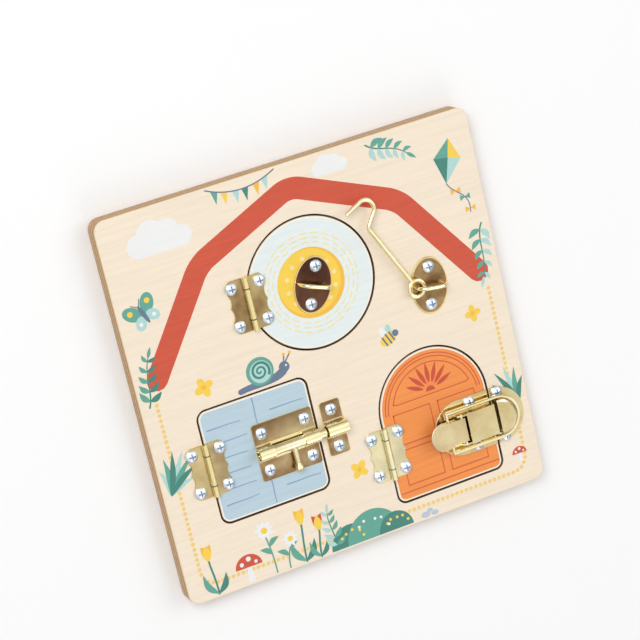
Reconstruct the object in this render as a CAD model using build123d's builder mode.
"""Wooden busy board: three little doors, each with its own hinge and its own fastener.

The board lies on its back.  The origin is the middle of the back face, +X runs to the right of the
face, +Y to its top and +Z out of the face.  Lengths are in millimetres.
"""

import math
import os

from build123d import *

# ---------------------------------------------------------------- driving dimensions

# Panels
board_side = 220.0
board_corner = 6.5
front_thickness = 9.0
back_thickness = 3.0
board_edge_round = 0.8
door_kerf = 1.1           # saw gap all round each door
door_clearance = 0.3      # air between a shut door and the back panel
door_edge_bevel = 0.35

# Round window, top middle
window_x, window_y = 0.0, 42.4
window_radius = 37.5      # of the opening

# Square shutter, lower left
shutter_x, shutter_y = -48.7, -39.0
shutter_width, shutter_height = 66.0, 66.5
shutter_corner = 6.0

# Arched door, lower right
arch_x, arch_bottom = 53.45, -96.4
arch_width, arch_height = 67.1, 83.3
arch_corner = 5.5

# Butt hinges
leaf_length, leaf_reach, leaf_thickness = 30.0, 11.0, 0.8
leaf_corner = 3.4
scallop_depth, scallop_half = 1.2, 7.6
knuckle_radius, hinge_pin_radius, hinge_pin_bevel = 1.85, 0.95, 0.24
knuckle_lift = 0.1        # air between a turning knuckle and the wood
end_knuckle = 6.3         # length of each outer knuckle
knuckle_gap = 0.15
notch_gap = 0.25
running_fit = 0.05        # radial clearance of a pin that turns
hinge_screw_x, hinge_screw_y = 8.25, 10.7

# Pan-head wood screws
screw_head_radius, screw_head_height, screw_head_rim = 3.35, 2.0, 0.7
screw_shank_radius, screw_length = 1.5, 7.4
screw_hole_radius = 1.75  # through metal
pilot_fit = 0.03
pilot_extra = 0.3
recess_width, recess_length, recess_depth = 0.75, 3.7, 1.1

# Barrel bolt on the shutter, and its keeper
bolt_offset_y = -0.6      # from the middle of the shutter
bolt_inset = 0.8          # plate edge to shutter edge
bolt_plate_width, bolt_plate_height, bolt_sheet = 35.8, 33.0, 0.9
bolt_corner = 1.6
bolt_screw_x, bolt_screw_y = 12.9, 10.7
collar_length = 8.6
rod_radius, rod_fit, rod_lift = 2.8, 0.12, 0.2
rod_tail = 1.4            # rod end inside the plate edge
rod_tip_round = 1.1
flare_reach, flare_rise, flare_mid = 1.45, 1.7, 0.3   # mid: how far the flare has come, halfway
rail_height, rail_width = 0.8, 1.5
stem_radius, bulb_radius, knob_reach, bulb_start = 1.5, 2.6, 16.2, 11.4
bulb_shoulder, bulb_shoulder_radius, bulb_cap = 1.3, 2.2, 1.56
bolt_throw = 3.8          # from rest to fully shot
bulb_to_screw = 0.3
tip_gap = 0.35            # rod tip to keeper mouth at rest
keeper_offset = 3.1       # opening edge to keeper edge
keeper_width, keeper_height, keeper_fit = 12.1, 31.5, 0.35

# Cabin hook: two oval plates, two wire staples and the hook
oval_length, oval_width, oval_sheet = 32.0, 21.8, 0.9
oval_screw = 10.5
staple_wire, staple_half_span, staple_height, staple_bend = 1.15, 8.5, 7.6, 5.0
staple_fit = 0.02
catch_dx, catch_dy, catch_tilt = 0.4, -1.3, -20.8      # from the middle of the window
eye_x, eye_y, eye_tilt = 66.3, 19.7, -8.0
hook_wire, hook_ring_radius, hook_slope = 1.25, 4.55, 2.2
hook_lift = 0.3
hook_knee = 46.4          # ring centre to the foot of the crook
hook_crook_height, hook_tip_drop = 10.4, 4.2
hook_rise_angle = 60.4
hook_cross = 4.0          # how far the catch lies beside the bar
hook_foot_bend, hook_shoulder_bend, hook_tip_bend = 2.5, 4.5, 4.8
hook_rest_angle = 48.0     # rest is this far from hooked

# Draw latch on the arched door, and its strike
latch_rise = 31.4         # above the bottom of the arched opening
latch_sheet = 1.0
base_length, base_half = 35.6, 16.3
base_nose = 17.0
base_inset = 0.2
bridge_length, bridge_half, bridge_height = 17.3, 8.8, 6.0
wall = 0.9
pivot_from_bridge, pivot_height, pivot_radius = 2.9, 4.4, 0.8
wall_nose = 2.6
lever_gap = 1.1           # lever ear to bridge wall
lever_tail = 1.6          # lever beyond its pivot
lever_length, lever_sheet, lever_tab_radius = 20.7, 1.1, 8.1
ear_depth, ear_round = 3.1, 1.24
lever_edge_bevel = 0.3
loop_arm_x, loop_arm_z = 8.2, 0.9      # loop pin from the lever pivot
loop_outer, loop_inner, loop_thickness = 12.7, 10.7, 2.2
loop_pin_radius, loop_pin_fit = 1.0, 0.1
loop_edge_bevel = 0.45
strike_gap, loop_offset = 0.4, 1.2     # opening edge to strike plate and to loop centre
strike_length, strike_half = 17.9, 16.3
boss_clearance = 1.0      # loop to boss wall
lip_overhang = 0.4
lip_height, boss_height = 4.9, 6.2
lip_thickness = 0.6
boss_top_inset = 1.1
boss_flat = 0.6           # boss's straight side left of the loop's centre
base_screw_x, base_screw_y = 12.1, 12.7
strike_screw_x, strike_screw_y = 3.0, 13.0
pin_head, pin_round = 0.5, 0.32
sheet_bevel = 0.25        # pressed edges of every metal plate

# ---------------------------------------------------------------- worked-out places

panel_top = back_thickness + front_thickness
door_bottom = back_thickness + door_clearance
door_thickness = panel_top - door_bottom
half_kerf = door_kerf / 2
hinge_height = knuckle_radius + knuckle_lift

window_pin_x = window_x - window_radius + half_kerf
shutter_left = shutter_x - shutter_width / 2
shutter_right = shutter_x + shutter_width / 2
shutter_pin_x = shutter_left + half_kerf
arch_left = arch_x - arch_width / 2
arch_right = arch_x + arch_width / 2
arch_pin_x = arch_left + half_kerf
arch_hinge_y = arch_bottom + latch_rise

bolt_y = shutter_y + bolt_offset_y
bolt_plate_x = shutter_right - door_kerf - bolt_inset - bolt_plate_width / 2
rod_height = bolt_sheet + rod_lift + rod_radius
bolt_axis_z = panel_top + rod_height
keeper_x = shutter_right + keeper_offset + keeper_width / 2
rod_tip_x = keeper_x - keeper_width / 2 - tip_gap
rod_tail_x = bolt_plate_x - bolt_plate_width / 2 + rod_tail
knob_shot_x = bolt_plate_x + bolt_screw_x - screw_head_radius - bulb_to_screw - bulb_radius
knob_x = knob_shot_x - bolt_throw

catch_x, catch_y = window_x + catch_dx, window_y + catch_dy
eye_angle = math.radians(eye_tilt)
hook_x = eye_x - staple_half_span * math.cos(eye_angle)
hook_y = eye_y - staple_half_span * math.sin(eye_angle)
hook_span = math.hypot(catch_x - hook_x, catch_y - hook_y)
hook_tip = math.sqrt(hook_span**2 - hook_cross**2)
hook_latched = math.degrees(
    math.atan2(catch_y - hook_y, catch_x - hook_x) + math.atan2(hook_cross, hook_tip)
)
hook_rest = hook_latched - hook_rest_angle
hook_z = panel_top + oval_sheet + hook_lift + hook_wire + (
    (hook_ring_radius + hook_wire) * math.sin(math.radians(hook_slope))
)

latch_y = arch_hinge_y
base_right = arch_right - door_kerf - base_inset
bridge_x = base_right - bridge_length
pivot_x = bridge_x - pivot_from_bridge
pivot_z = panel_top + latch_sheet + pivot_height
loop_pin_x, loop_pin_z = pivot_x - loop_arm_x, pivot_z - loop_arm_z
loop_x = arch_right + loop_offset
strike_left = arch_right + strike_gap
lever_half = bridge_half - wall - lever_gap

os.makedirs("parts", exist_ok=True)


def save(part, name):
    """Label a finished piece and write it to its own file."""
    part.label = name
    export_step(part, f"parts/{name}.step")


def dome_arc(radius, edge, top):
    """Arc of a sphere centred on the axis, from (radius, edge) to (0, top), in an open line."""
    rise = top - edge
    sphere = (radius**2 + rise**2) / (2 * rise)
    half_turn = math.asin(radius / abs(sphere)) / 2
    middle = (abs(sphere) * math.sin(half_turn), top - sphere * (1 - math.cos(half_turn)))
    return ThreePointArc((radius, edge), middle, (0, top))


# ---------------------------------------------------------------- screws

def wood_screw():
    """One pan-head screw, its head seated on z = 0 and its shank pointing down."""
    with BuildPart() as screw:
        with BuildSketch(Plane.XZ):
            with BuildLine():
                Polyline(
                    (0, screw_head_height),
                    (0, -screw_length),
                    (screw_shank_radius, -screw_length + screw_shank_radius),
                    (screw_shank_radius, 0),
                    (screw_head_radius, 0),
                    (screw_head_radius, screw_head_rim),
                )
                dome_arc(screw_head_radius, screw_head_rim, screw_head_height)
            make_face()
        revolve(axis=Axis.Z)
        with BuildSketch(Plane.XY.offset(screw_head_height)):
            Rectangle(recess_length, recess_width)
            Rectangle(recess_width, recess_length)
        extrude(amount=-recess_depth, mode=Mode.SUBTRACT)
    return screw.part


screw_shape = wood_screw()


def screw_set(name, places, seat):
    """Screws at (x, y) places with their heads on the height seat, in one file."""
    with BuildPart() as screws:
        with Locations(*[(x, y, seat) for x, y in places]):
            add(screw_shape)
    save(screws.part, name)


def drill_pilots(places, sheet):
    """Pilot holes in the wood of the open part, for screws that pass through a sheet."""
    with Locations(*[(x, y, panel_top) for x, y in places]):
        Hole(screw_shank_radius + pilot_fit, screw_length - sheet + pilot_extra)


def mirrored(x, y, dx, dy):
    """The four corners of a rectangle of half sizes dx, dy about (x, y)."""
    return [(x + i * dx, y + j * dy) for i in (-1, 1) for j in (-1, 1)]


def oval_screws(x, y, tilt):
    """The two screw places on the long axis of an oval plate."""
    turn = math.radians(tilt)
    along = (-math.sin(turn) * oval_screw, math.cos(turn) * oval_screw)
    return [(x + along[0], y + along[1]), (x - along[0], y - along[1])]


hinge_places = {
    "window": (window_pin_x, window_y),
    "shutter": (shutter_pin_x, shutter_y),
    "arched_door": (arch_pin_x, arch_hinge_y),
}


def hinge_screws(name, side):
    """Screw places of one leaf: side is -1 on the frame and +1 on the door."""
    x, y = hinge_places[name]
    return [(x + side * hinge_screw_x, y + j * hinge_screw_y) for j in (-1, 1)]


bolt_screws = mirrored(bolt_plate_x, bolt_y, bolt_screw_x, bolt_screw_y)
keeper_screws = [(keeper_x, bolt_y + j * bolt_screw_y) for j in (-1, 1)]
catch_screws = oval_screws(catch_x, catch_y, catch_tilt)
eye_screws = oval_screws(eye_x, eye_y, eye_tilt)
base_screws = [(base_right - base_screw_x, latch_y + j * base_screw_y) for j in (-1, 1)]
strike_screws = [(loop_x + strike_screw_x, latch_y + j * strike_screw_y) for j in (-1, 1)]


# ---------------------------------------------------------------- panels and doors

def shutter_sketch(inset):
    """The shutter's outline, drawn in by inset from its opening."""
    with BuildSketch() as sketch:
        with Locations((shutter_x, shutter_y)):
            RectangleRounded(
                shutter_width - 2 * inset, shutter_height - 2 * inset, shutter_corner - inset
            )
    return sketch.sketch


def arch_sketch(inset):
    """The arched door's outline, drawn in by inset from its opening."""
    half = arch_width / 2 - inset
    spring = arch_bottom + arch_height - arch_width / 2
    with BuildSketch() as sketch:
        with Locations((arch_x, (arch_bottom + inset + spring) / 2)):
            Rectangle(2 * half, spring - arch_bottom - inset)
        with Locations((arch_x, spring)):
            Circle(half)
        fillet(sketch.vertices().group_by(Axis.Y)[0], arch_corner - inset)
    return sketch.sketch


def bevel_rim(plate):
    """Take the sharp edge off the outline of a plate's top face."""
    chamfer(plate.faces().sort_by(Axis.Z)[-1].outer_wire().edges(), sheet_bevel)


with BuildPart() as front_panel:
    with BuildSketch(Plane.XY.offset(back_thickness)):
        RectangleRounded(board_side, board_side, board_corner)
    extrude(amount=front_thickness)
    fillet(front_panel.faces().sort_by(Axis.Z)[-1].outer_wire().edges(), board_edge_round)
    with BuildSketch(Plane.XY.offset(back_thickness)):
        with Locations((window_x, window_y)):
            Circle(window_radius)
        add(shutter_sketch(0))
        add(arch_sketch(0))
    extrude(amount=front_thickness, mode=Mode.SUBTRACT)
    for door in hinge_places:
        drill_pilots(hinge_screws(door, -1), leaf_thickness)
    drill_pilots(keeper_screws, bolt_sheet)
    drill_pilots(eye_screws, oval_sheet)
    drill_pilots(strike_screws, latch_sheet)
save(front_panel.part, "front_panel")

with BuildPart() as back_panel:
    with BuildSketch():
        RectangleRounded(board_side, board_side, board_corner)
    extrude(amount=back_thickness)
    fillet(back_panel.faces().sort_by(Axis.Z)[0].edges(), board_edge_round)
save(back_panel.part, "back_panel")

with BuildPart() as window_disc:
    with BuildSketch(Plane.XY.offset(door_bottom)):
        with Locations((window_x, window_y)):
            Circle(window_radius - door_kerf)
    extrude(amount=door_thickness)
    chamfer(window_disc.faces().sort_by(Axis.Z)[-1].edges(), door_edge_bevel)
    drill_pilots(hinge_screws("window", 1), leaf_thickness)
    drill_pilots(catch_screws, oval_sheet)
save(window_disc.part, "window_disc")

with BuildPart() as shutter_panel:
    with BuildSketch(Plane.XY.offset(door_bottom)):
        add(shutter_sketch(door_kerf))
    extrude(amount=door_thickness)
    chamfer(shutter_panel.faces().sort_by(Axis.Z)[-1].edges(), door_edge_bevel)
    drill_pilots(hinge_screws("shutter", 1), leaf_thickness)
    drill_pilots(bolt_screws, bolt_sheet)
save(shutter_panel.part, "shutter_panel")

with BuildPart() as arched_panel:
    with BuildSketch(Plane.XY.offset(door_bottom)):
        add(arch_sketch(door_kerf))
    extrude(amount=door_thickness)
    chamfer(arched_panel.faces().sort_by(Axis.Z)[-1].edges(), door_edge_bevel)
    drill_pilots(hinge_screws("arched_door", 1), leaf_thickness)
    drill_pilots(base_screws, latch_sheet)
save(arched_panel.part, "arched_door_panel")


# ---------------------------------------------------------------- butt hinges

middle_half = leaf_length / 2 - end_knuckle - knuckle_gap
end_rows = [
    (leaf_length / 2 - end_knuckle, leaf_length / 2),
    (-leaf_length / 2, -leaf_length / 2 + end_knuckle),
]
middle_row = [(-middle_half, middle_half)]
notch_reach = math.sqrt(knuckle_radius**2 - (hinge_height - leaf_thickness) ** 2) + notch_gap


def leaf_outline():
    """A leaf from the pin line outwards: rounded corners and two scallops with a cusp between."""
    with BuildSketch() as outline:
        with BuildLine():
            top, corner_y = leaf_length / 2, leaf_length / 2 - leaf_corner
            Line((0, 0), (0, top))
            Line((0, top), (leaf_reach - leaf_corner, top))
            RadiusArc((leaf_reach - leaf_corner, top), (leaf_reach, corner_y), leaf_corner)
            Line((leaf_reach, corner_y), (leaf_reach, scallop_half))
            ThreePointArc(
                (leaf_reach, scallop_half),
                (leaf_reach - scallop_depth, scallop_half / 2),
                (leaf_reach, 0),
            )
            mirror(about=Plane.XZ)
        make_face()
    return outline.sketch


def hinge_leaf(rows, free_rows):
    """One leaf, its back on z = 0 and its pin on x = 0, with knuckles in the given y rows."""
    with BuildPart() as leaf:
        with BuildSketch():
            add(leaf_outline())
            for low, high in free_rows:
                with Locations((0, (low + high) / 2)):
                    Rectangle(
                        2 * notch_reach,
                        high - low + 2 * knuckle_gap,
                        mode=Mode.SUBTRACT,
                    )
        extrude(amount=leaf_thickness)
        rim = leaf.faces().sort_by(Axis.Z)[-1].outer_wire().edges()
        chamfer(rim.filter_by_position(Axis.X, notch_reach + sheet_bevel, leaf_reach), sheet_bevel)
        for low, high in rows:
            with BuildSketch(Plane.XZ.offset(-high)):
                with Locations((0, hinge_height)):
                    Circle(knuckle_radius)
            extrude(amount=high - low)
            with BuildSketch(Plane.XZ.offset(-high)):
                with Locations((0, hinge_height)):
                    Circle(hinge_pin_radius + running_fit)
            extrude(amount=high - low, mode=Mode.SUBTRACT)
        with Locations(*[(hinge_screw_x, j * hinge_screw_y, leaf_thickness) for j in (-1, 1)]):
            Hole(screw_hole_radius, leaf_thickness)
    return leaf.part


door_leaf_shape = hinge_leaf(middle_row, end_rows)
frame_leaf_shape = mirror(hinge_leaf(end_rows, middle_row), about=Plane.YZ)

for door, (pin_x, pin_y) in hinge_places.items():
    with BuildPart() as door_leaf:
        with Locations((pin_x, pin_y, panel_top)):
            add(door_leaf_shape)
    save(door_leaf.part, f"{door}_hinge_door_leaf")

    with BuildPart() as frame_leaf:
        with Locations((pin_x, pin_y, panel_top)):
            add(frame_leaf_shape)
    save(frame_leaf.part, f"{door}_hinge_frame_leaf")

    with BuildPart() as hinge_pin:
        with BuildSketch(Plane.XZ.offset(-pin_y - leaf_length / 2)):
            with Locations((pin_x, panel_top + hinge_height)):
                Circle(hinge_pin_radius)
        extrude(amount=leaf_length)
        chamfer(hinge_pin.edges().filter_by(GeomType.CIRCLE), hinge_pin_bevel)
    save(hinge_pin.part, f"{door}_hinge_pin")

    seat = panel_top + leaf_thickness
    screw_set(f"{door}_hinge_frame_screws", hinge_screws(door, -1), seat)
    screw_set(f"{door}_hinge_door_screws", hinge_screws(door, 1), seat)


# ---------------------------------------------------------------- barrel bolt and keeper

def saddle_sketch(plane, bore):
    """Pressed saddle over the rod: flared feet on the plate, round crown, open bore."""
    outer = bore + bolt_sheet
    base = panel_top + bolt_sheet
    with BuildSketch(plane) as sketch:
        with BuildLine():
            ThreePointArc(
                (bolt_y + outer + flare_reach, base),
                (bolt_y + outer + flare_reach * flare_mid, base + flare_rise * flare_mid),
                (bolt_y + outer, base + flare_rise),
            )
            Line((bolt_y + outer, base + flare_rise), (bolt_y + outer, bolt_axis_z))
            ThreePointArc(
                (bolt_y + outer, bolt_axis_z),
                (bolt_y, bolt_axis_z + outer),
                (bolt_y - outer, bolt_axis_z),
            )
            Line((bolt_y - outer, bolt_axis_z), (bolt_y - outer, base + flare_rise))
            ThreePointArc(
                (bolt_y - outer, base + flare_rise),
                (bolt_y - outer - flare_reach * flare_mid, base + flare_rise * flare_mid),
                (bolt_y - outer - flare_reach, base),
            )
            Line((bolt_y - outer - flare_reach, base), (bolt_y + outer + flare_reach, base))
        make_face()
        with Locations((bolt_y, bolt_axis_z)):
            Circle(bore, mode=Mode.SUBTRACT)
    return sketch.sketch


def rail_rows():
    """The y places of the two low rails between the collars."""
    reach = rod_radius + rod_fit + bolt_sheet / 2 + rail_width / 2
    return [bolt_y - reach, bolt_y + reach]


plate_left = bolt_plate_x - bolt_plate_width / 2
plate_right = bolt_plate_x + bolt_plate_width / 2

with BuildPart() as bolt_plate:
    with BuildSketch(Plane.XY.offset(panel_top)):
        with Locations((bolt_plate_x, bolt_y)):
            RectangleRounded(bolt_plate_width, bolt_plate_height, bolt_corner)
    extrude(amount=bolt_sheet)
    bevel_rim(bolt_plate)
    for start in (plate_left, plate_right - collar_length):
        extrude(saddle_sketch(Plane.YZ.offset(start), rod_radius + rod_fit), amount=collar_length)
    with BuildSketch(Plane.XY.offset(panel_top + bolt_sheet)):
        with Locations(*[(bolt_plate_x, y) for y in rail_rows()]):
            Rectangle(bolt_plate_width - 2 * collar_length, rail_width)
    extrude(amount=rail_height)
    with Locations(*[(x, y, panel_top + bolt_sheet) for x, y in bolt_screws]):
        Hole(screw_hole_radius, bolt_sheet)
save(bolt_plate.part, "bolt_plate")
screw_set("bolt_plate_screws", bolt_screws, panel_top + bolt_sheet)

with BuildPart() as bolt_rod:
    with BuildSketch(Plane.YZ.offset(rod_tail_x)):
        with Locations((bolt_y, bolt_axis_z)):
            Circle(rod_radius)
    extrude(amount=rod_tip_x - rod_tail_x)
    fillet(bolt_rod.edges().filter_by(GeomType.CIRCLE), rod_tip_round)
save(bolt_rod.part, "bolt_rod")

with BuildPart() as bolt_knob:
    with BuildSketch(Plane((knob_x, bolt_y, bolt_axis_z), x_dir=(1, 0, 0), z_dir=(0, 0, 1))):
        with BuildLine():
            Polyline(
                (0, 0),
                (stem_radius, 0),
                (stem_radius, -bulb_start),
                (bulb_shoulder_radius, -bulb_start - bulb_shoulder),
                (bulb_radius, -bulb_start - 2 * bulb_shoulder),
                (bulb_radius, -knob_reach + bulb_cap),
            )
            dome_arc(bulb_radius, -knob_reach + bulb_cap, -knob_reach)
            Line((0, -knob_reach), (0, 0))
        make_face()
    revolve(axis=Axis((knob_x, bolt_y, bolt_axis_z), (0, 1, 0)))
    with BuildSketch(Plane.YZ.offset(knob_x - bulb_radius)):
        with Locations((bolt_y, bolt_axis_z)):
            Circle(rod_radius + running_fit)
    extrude(amount=2 * bulb_radius, mode=Mode.SUBTRACT)
save(bolt_knob.part, "bolt_knob")

with BuildPart() as bolt_keeper:
    with BuildSketch(Plane.XY.offset(panel_top)):
        with Locations((keeper_x, bolt_y)):
            RectangleRounded(keeper_width, keeper_height, bolt_corner)
    extrude(amount=bolt_sheet)
    bevel_rim(bolt_keeper)
    extrude(
        saddle_sketch(Plane.YZ.offset(keeper_x - keeper_width / 2), rod_radius + keeper_fit),
        amount=keeper_width,
    )
    with Locations(*[(x, y, panel_top + bolt_sheet) for x, y in keeper_screws]):
        Hole(screw_hole_radius, bolt_sheet)
save(bolt_keeper.part, "bolt_keeper")
screw_set("bolt_keeper_screws", keeper_screws, panel_top + bolt_sheet)


# ---------------------------------------------------------------- cabin hook

def turned_plane(x, y, z, angle):
    """A level plane at (x, y, z) whose own x axis is turned by angle degrees."""
    turn = math.radians(angle)
    return Plane((x, y, z), x_dir=(math.cos(turn), math.sin(turn), 0), z_dir=(0, 0, 1))


def oval_plate(x, y, tilt, name):
    """Oval plate with two screw holes on its long axis and two staple holes on its short one."""
    top = panel_top + oval_sheet
    with BuildPart() as plate:
        with BuildSketch(turned_plane(x, y, panel_top, tilt)):
            Ellipse(oval_width / 2, oval_length / 2)
            with Locations((-staple_half_span, 0), (staple_half_span, 0)):
                Circle(staple_wire + staple_fit, mode=Mode.SUBTRACT)
        extrude(amount=oval_sheet)
        bevel_rim(plate)
        with Locations(*[(i, j, top) for i, j in oval_screws(x, y, tilt)]):
            Hole(screw_hole_radius, oval_sheet)
    save(plate.part, name)


def wire_staple(x, y, tilt, name):
    """Bent wire arch whose two feet fill the small holes of its plate."""
    level = turned_plane(x, y, panel_top, tilt)
    upright = Plane(level.origin, x_dir=level.x_dir, z_dir=-level.y_dir)
    foot = level.origin - level.x_dir * staple_half_span
    crown = oval_sheet + staple_height
    with BuildPart() as staple:
        with BuildLine(upright):
            FilletPolyline(
                (-staple_half_span, 0),
                (-staple_half_span, crown),
                (staple_half_span, crown),
                (staple_half_span, 0),
                radius=staple_bend,
            )
        with BuildSketch(Plane(foot, x_dir=level.x_dir, z_dir=(0, 0, 1))):
            Circle(staple_wire)
        sweep()
    save(staple.part, name)


oval_plate(catch_x, catch_y, catch_tilt, "catch_plate")
wire_staple(catch_x, catch_y, catch_tilt, "catch_staple")
screw_set("catch_screws", catch_screws, panel_top + oval_sheet)
oval_plate(eye_x, eye_y, eye_tilt, "eye_plate")
wire_staple(eye_x, eye_y, eye_tilt, "eye_staple")
screw_set("eye_screws", eye_screws, panel_top + oval_sheet)

hook_turn, hook_pitch = math.radians(hook_rest), math.radians(hook_slope)
hook_along = Vector(
    math.cos(hook_turn) * math.cos(hook_pitch),
    math.sin(hook_turn) * math.cos(hook_pitch),
    math.sin(hook_pitch),
)
hook_aside = Vector(math.sin(hook_turn), -math.cos(hook_turn), 0)
hook_plane = Plane((hook_x, hook_y, hook_z), x_dir=hook_along, z_dir=hook_along.cross(hook_aside))
crook_run = hook_crook_height / math.tan(math.radians(hook_rise_angle))

with BuildPart() as cabin_hook:
    with BuildLine(hook_plane) as hook_path:
        FilletPolyline(
            (hook_ring_radius, 0),
            (hook_knee, 0),
            (hook_knee + crook_run, hook_crook_height),
            (hook_tip, hook_crook_height),
            (hook_tip, -hook_tip_drop),
            radius=[hook_foot_bend, hook_shoulder_bend, hook_tip_bend],
        )
    with BuildSketch(Plane(hook_path.line @ 0, z_dir=hook_path.line % 0)):
        Circle(hook_wire)
    sweep()
    with Locations(Location(hook_plane)):
        Torus(hook_ring_radius, hook_wire)
    with Locations(hook_path.line @ 1):
        Sphere(hook_wire)
save(cabin_hook.part, "cabin_hook")


# ---------------------------------------------------------------- draw latch and strike

flange_top = panel_top + latch_sheet
bridge_top = flange_top + bridge_height
bridge_right = bridge_x + bridge_length
nose_x = pivot_x - wall_nose
side_plane = Plane((0, latch_y, 0), x_dir=(1, 0, 0), z_dir=(0, -1, 0))


def half_oval(start, length, half, direction):
    """Plate outline with a straight edge at start and a half-oval end in the given direction."""
    nose = min(length, base_nose)
    with BuildSketch() as sketch:
        with Locations((start + direction * (length - nose), latch_y)):
            Ellipse(nose, half)
        with Locations((start + direction * (length - nose - half), latch_y)):
            Rectangle(2 * half, 2 * half, mode=Mode.SUBTRACT)
        if length > nose:
            with Locations((start + direction * (length - nose) / 2, latch_y)):
                Rectangle(length - nose, 2 * half)
    return sketch.sketch


with BuildPart() as latch_base:
    with BuildSketch(Plane.XY.offset(panel_top)):
        add(half_oval(base_right, base_length, base_half, -1))
    extrude(amount=latch_sheet)
    bevel_rim(latch_base)
    # Pressed bridge: a box open at its left end, with pointed ears for the pivot pin.
    with BuildSketch(side_plane):
        with BuildLine():
            Polyline(
                (nose_x, flange_top),
                (nose_x, pivot_z),
                (pivot_x, bridge_top),
                (bridge_right, bridge_top),
                (bridge_right, flange_top),
                close=True,
            )
        make_face()
    extrude(amount=bridge_half, both=True)
    with BuildSketch(side_plane):
        inside_right = bridge_right - wall
        inside_height = bridge_height - wall
        with Locations(((nose_x + inside_right) / 2, flange_top + inside_height / 2)):
            Rectangle(inside_right - nose_x, inside_height)
        with Locations(((nose_x + bridge_x) / 2, flange_top + bridge_height / 2)):
            Rectangle(bridge_x - nose_x, bridge_height)
    extrude(amount=bridge_half - wall, both=True, mode=Mode.SUBTRACT)
    with BuildSketch(side_plane):
        with Locations((pivot_x, pivot_z)):
            Circle(pivot_radius + pilot_fit)
    extrude(amount=bridge_half, both=True, mode=Mode.SUBTRACT)
    with Locations(*[(x, y, flange_top) for x, y in base_screws]):
        Hole(screw_hole_radius, latch_sheet)
save(latch_base.part, "latch_base")
screw_set("latch_base_screws", base_screws, flange_top)

with BuildPart() as latch_pivot_pin:
    with BuildSketch(side_plane):
        with Locations((pivot_x, pivot_z)):
            Circle(pivot_radius)
    extrude(amount=bridge_half + pin_head, both=True)
    fillet(latch_pivot_pin.edges().filter_by(GeomType.CIRCLE), pin_round)
save(latch_pivot_pin.part, "latch_pivot_pin")

lever_top = bridge_top
lever_right = pivot_x + lever_tail
lever_bottom = lever_top - lever_sheet
ear_left = loop_pin_x - loop_pin_radius - lever_sheet

with BuildPart() as latch_lever:
    with BuildSketch(Plane.XY.offset(lever_bottom)):
        tab_centre = pivot_x - lever_length + lever_tab_radius
        with Locations(((tab_centre + lever_right) / 2, latch_y)):
            Rectangle(lever_right - tab_centre, 2 * lever_half)
        with Locations((tab_centre, latch_y)):
            Circle(lever_tab_radius)
    extrude(amount=lever_sheet)
    chamfer(latch_lever.faces().sort_by(Axis.Z)[-1].edges(), lever_edge_bevel)
    # Two ears bent down at the sides, with the pivot hole and the loop's hole.
    with BuildSketch(side_plane):
        with Locations(((ear_left + lever_right) / 2, lever_bottom - ear_depth / 2)):
            Rectangle(lever_right - ear_left, ear_depth)
        fillet(vertices().group_by(Axis.Y)[0], ear_round)
    extrude(amount=lever_half, both=True)
    with BuildSketch(side_plane):
        with Locations(((ear_left + lever_right) / 2, lever_bottom - ear_depth / 2)):
            Rectangle(2 * (lever_right - ear_left), ear_depth)
    extrude(amount=lever_half - wall, both=True, mode=Mode.SUBTRACT)
    with BuildSketch(side_plane):
        with Locations((pivot_x, pivot_z)):
            Circle(pivot_radius + running_fit)
        with Locations((loop_pin_x, loop_pin_z)):
            Circle(loop_pin_radius + loop_pin_fit)
    extrude(amount=lever_half, both=True, mode=Mode.SUBTRACT)
save(latch_lever.part, "latch_lever")

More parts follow.
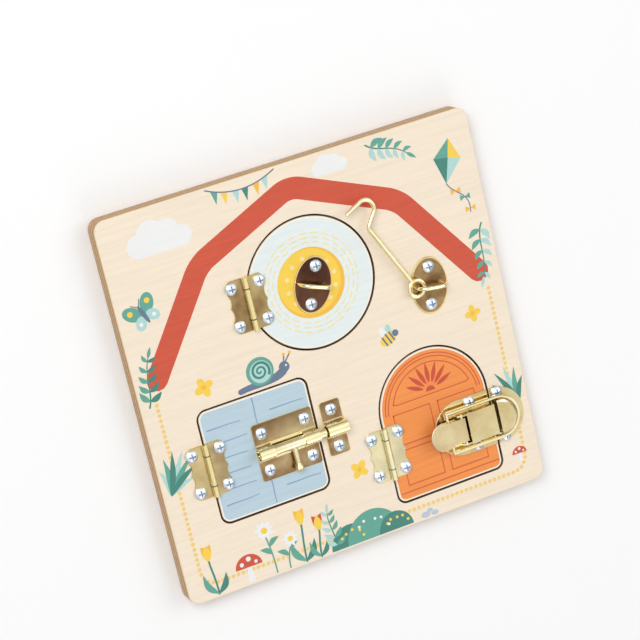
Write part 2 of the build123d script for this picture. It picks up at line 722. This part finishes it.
loop_band = loop_outer - loop_inner
with BuildPart() as latch_loop:
    with BuildSketch(Plane.XY.offset(loop_pin_z - loop_thickness / 2)):
        with Locations((loop_x, latch_y)):
            Circle(loop_outer)
        with Locations(((loop_pin_x + loop_x) / 2, latch_y)):
            Rectangle(loop_x - loop_pin_x, 2 * loop_outer)
        with Locations((loop_x, latch_y)):
            Circle(loop_inner, mode=Mode.SUBTRACT)
        with Locations(((loop_pin_x + loop_x) / 2, latch_y)):
            Rectangle(loop_x - loop_pin_x, 2 * loop_inner, mode=Mode.SUBTRACT)
        with Locations((loop_x - loop_outer, latch_y)):
            Rectangle(loop_outer, 2 * loop_inner, mode=Mode.SUBTRACT)
        with Locations(
            *[(loop_pin_x, latch_y + j * (loop_inner + loop_band / 2)) for j in (-1, 1)]
        ):
            Circle(loop_band / 2)
    extrude(amount=loop_thickness)
    chamfer(latch_loop.faces().sort_by(Axis.Z)[-1].edges(), loop_edge_bevel)
    # The band's ends turn in and pass through the lever's ears.
    with BuildSketch(side_plane):
        with Locations((loop_pin_x, loop_pin_z)):
            Circle(loop_pin_radius)
    extrude(amount=loop_inner + loop_band / 2, both=True)
    with BuildSketch(side_plane):
        with Locations((loop_pin_x, loop_pin_z)):
            Circle(loop_pin_radius * 2)
    extrude(amount=lever_half - 2 * wall, both=True, mode=Mode.SUBTRACT)
save(latch_loop.part, "latch_loop")

boss_radius = loop_inner - boss_clearance
lip_edge = loop_x + boss_radius + lip_overhang
lip_bottom = flange_top + lip_height
with BuildPart() as strike:
    with BuildSketch(Plane.XY.offset(panel_top)):
        add(half_oval(strike_left, strike_length, strike_half, 1))
    extrude(amount=latch_sheet)
    bevel_rim(strike)
    # D-shaped boss with a small lip under a bevelled crown.
    with BuildSketch(side_plane):
        with BuildLine():
            Polyline(
                (loop_x, flange_top),
                (loop_x + boss_radius, flange_top),
                (loop_x + boss_radius, lip_bottom),
                (lip_edge, lip_bottom),
                (lip_edge, lip_bottom + lip_thickness),
                (lip_edge - boss_top_inset, flange_top + boss_height),
                (loop_x, flange_top + boss_height),
                close=True,
            )
        make_face()
    revolve(axis=Axis((loop_x, latch_y, 0), (0, 0, 1)), revolution_arc=360)
    with BuildSketch(Plane.XY.offset(flange_top)):
        with Locations((loop_x - boss_flat - loop_outer, latch_y)):
            Rectangle(2 * loop_outer, 2 * loop_outer)
    extrude(amount=boss_height * 2, mode=Mode.SUBTRACT)
    with Locations(*[(x, y, flange_top) for x, y in strike_screws]):
        Hole(screw_hole_radius, latch_sheet)
save(strike.part, "strike_plate")
screw_set("strike_screws", strike_screws, flange_top)
